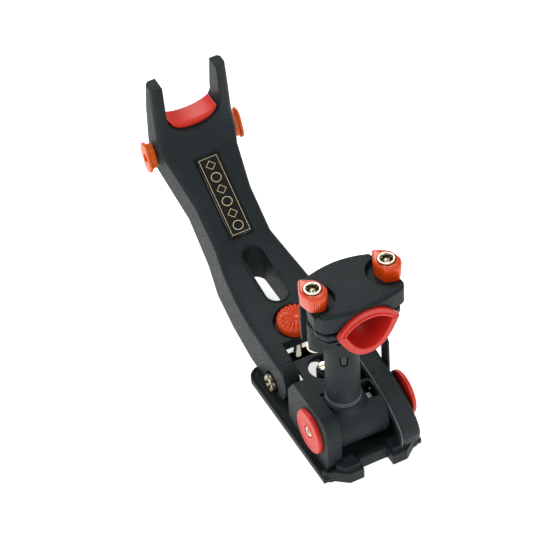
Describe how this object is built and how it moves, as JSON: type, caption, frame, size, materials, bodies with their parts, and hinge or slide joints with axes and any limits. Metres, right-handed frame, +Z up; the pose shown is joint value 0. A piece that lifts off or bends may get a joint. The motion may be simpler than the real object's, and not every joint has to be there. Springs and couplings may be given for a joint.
{
  "type": "boat rod holder",
  "caption": "Boat rod holder: a tilting split clamp with a soft liner grips the rod's handle, and a long forked arm with a screw angle adjuster carries its fore part.",
  "frame": {"origin": "centre of the base plate's underside", "axes": "+X to the lever's side, +Y from the clamp head to the fork, +Z up from the base's underside"},
  "size_m": [0.0911, 0.3308, 0.1934],
  "materials": {
    "moulded_nylon": "fine moulded grain, charcoal black",
    "soft_red": "smooth coral-red elastomer",
    "orange_plastic": "glossy orange-red",
    "stainless_steel": "turned and nickel bright",
    "dark_steel": "dull blued"
  },
  "bodies": {
    "base": {"base_plate": "moulded_nylon", "left_cheek": "moulded_nylon", "right_cheek": "moulded_nylon", "rear_bridge": "moulded_nylon", "anchor_boss": "moulded_nylon", "anchor_screw": "stainless_steel", "pivot_axle": "stainless_steel", "left_axle_cap": "soft_red", "right_axle_cap": "soft_red", "left_axle_screw": "stainless_steel", "right_axle_screw": "stainless_steel", "lever_pin": "stainless_steel", "left_pivot_washer": "stainless_steel", "right_pivot_washer": "stainless_steel", "jack_pad": "dark_steel", "left_front_cheek_screw": "stainless_steel", "left_rear_cheek_screw": "stainless_steel", "right_front_cheek_screw": "stainless_steel", "right_rear_cheek_screw": "stainless_steel", "left_pivot_bolt": "stainless_steel", "right_pivot_bolt": "stainless_steel", "left_pivot_nut": "stainless_steel"},
    "drum": {"pivot_drum": "moulded_nylon", "brake_disc": "dark_steel"},
    "post": {"post": "moulded_nylon", "post_key": "moulded_nylon", "lower_jaw": "moulded_nylon", "lower_liner": "soft_red", "left_clamp_bolt": "stainless_steel", "right_clamp_bolt": "stainless_steel", "head_back_plate": "moulded_nylon"},
    "upper_jaw": {"upper_jaw": "moulded_nylon", "upper_liner": "soft_red"},
    "left_wing": {"left_wing_knob": "orange_plastic", "left_knob_bush": "stainless_steel"},
    "right_wing": {"right_wing_knob": "orange_plastic", "right_knob_bush": "stainless_steel"},
    "lever": {"lock_lever": "moulded_nylon", "brake_shoe": "moulded_nylon"},
    "arm": {"arm": "moulded_nylon", "name_plate": "moulded_nylon", "fork_pad": "soft_red", "side_stud": "stainless_steel"},
    "left_side_wing": {"left_side_knob": "orange_plastic"},
    "right_side_wing": {"right_side_knob": "orange_plastic"},
    "dial": {"angle_dial": "orange_plastic", "dial_retainer": "dark_steel"},
    "jack": {"jack_screw": "stainless_steel"}
  },
  "joints": [
    {"name": "head_tilt", "type": "hinge", "parent": "base", "child": "drum", "pos_m": [0, -0.0352, 0.0336], "axis": [1, 0, 0], "range_deg": [-15, 15]},
    {"name": "head_swivel", "type": "hinge", "parent": "drum", "child": "post", "pos_m": [-0.0096, -0.0352, 0.057], "axis": [0, 0, 1], "range_deg": [-20, 20]},
    {"name": "clamp_lift", "type": "slide", "parent": "post", "child": "upper_jaw", "axis": [0, 0, 1], "range_m": [0, 0.005]},
    {"name": "left_wing_spin", "type": "hinge", "parent": "upper_jaw", "child": "left_wing", "pos_m": [-0.0324, -0.0358, 0.18], "axis": [0, 0, 1], "range_deg": [0, 1441]},
    {"name": "right_wing_spin", "type": "hinge", "parent": "upper_jaw", "child": "right_wing", "pos_m": [0.0324, -0.0358, 0.18], "axis": [0, 0, 1], "range_deg": [0, 1441]},
    {"name": "lever_lift", "type": "hinge", "parent": "base", "child": "lever", "pos_m": [0, -0.004, 0.0445], "axis": [1, 0, 0], "range_deg": [-22, 0], "stiffness_Nm_per_rad": 0.15, "springref_deg": 17.19},
    {"name": "arm_tilt", "type": "hinge", "parent": "base", "child": "arm", "pos_m": [0, 0.042, 0.0158], "axis": [1, 0, 0], "range_deg": [0, 12]},
    {"name": "dial_spin", "type": "hinge", "parent": "arm", "child": "dial", "pos_m": [0, 0.064, 0.05], "axis": [0, 0, 1], "range_deg": [0, 360]},
    {"name": "jack_slide", "type": "slide", "parent": "arm", "child": "jack", "axis": [0, 0, 1], "range_m": [-0.0052, 0]},
    {"name": "left_side_spin", "type": "hinge", "parent": "arm", "child": "left_side_wing", "pos_m": [-0.04, 0.243, 0.106], "axis": [1, 0, 0], "continuous": true},
    {"name": "right_side_spin", "type": "hinge", "parent": "arm", "child": "right_side_wing", "pos_m": [0.04, 0.243, 0.106], "axis": [1, 0, 0], "continuous": true}
  ],
  "couplings": [
    {"joint": "left_wing_spin", "follows": "clamp_lift", "rad_per_m": 5026.5},
    {"joint": "right_wing_spin", "follows": "clamp_lift", "rad_per_m": 5026.5},
    {"joint": "dial_spin", "follows": "arm_tilt", "ratio": 29},
    {"joint": "jack_slide", "follows": "arm_tilt", "m_per_rad": -0.0234}
  ]
}
